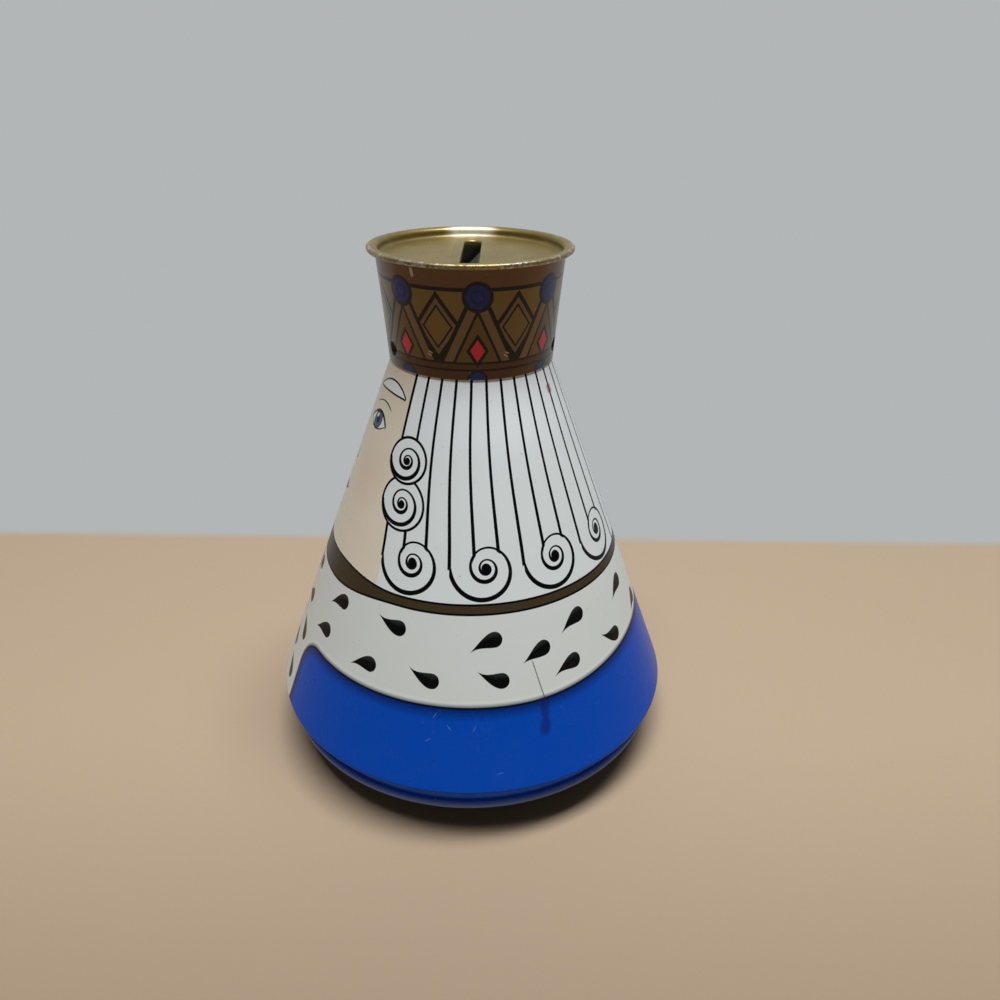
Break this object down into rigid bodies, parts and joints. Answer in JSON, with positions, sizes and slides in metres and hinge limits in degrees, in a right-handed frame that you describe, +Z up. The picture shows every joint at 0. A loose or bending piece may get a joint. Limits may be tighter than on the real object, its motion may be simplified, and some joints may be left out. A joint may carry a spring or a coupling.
{
  "type": "roly-poly money bank",
  "caption": "Self-righting tinplate money bank: a cone on a weighted round base, with a crown-shaped cap that holds the coin slot and pulls off.",
  "frame": {"origin": "the lowest point of the rounded base, on the bank's axis, where it stands on a surface", "axes": "+Z up the bank's axis; the printed figure looks along -Y, its folded side seam is at +Y, and the coin slot runs along X"},
  "size_m": [0.09, 0.09, 0.1117],
  "materials": {
    "printed_tin": "glossy lithographed tin, worn",
    "crown_print": "glossy lithographed tin",
    "gold_lacquer": "gold-lacquered tin, rubbed",
    "base_lacquer": "dark lacquer, satin",
    "bare_tin": "dull bare tinplate",
    "weight_iron": "as cast"
  },
  "bodies": {
    "body": {"body_cone": "printed_tin", "neck_ring": "bare_tin", "base_pan": "base_lacquer", "coin_floor": "bare_tin", "ballast_weight": "weight_iron", "ballast_cover": "bare_tin"},
    "crown": {"crown_band": "crown_print", "slot_lid": "gold_lacquer", "coin_guard": "bare_tin"}
  },
  "joints": [
    {"name": "crown_lift", "type": "slide", "parent": "body", "child": "crown", "axis": [0, 0, 1], "range_m": [0, 0.04]}
  ]
}
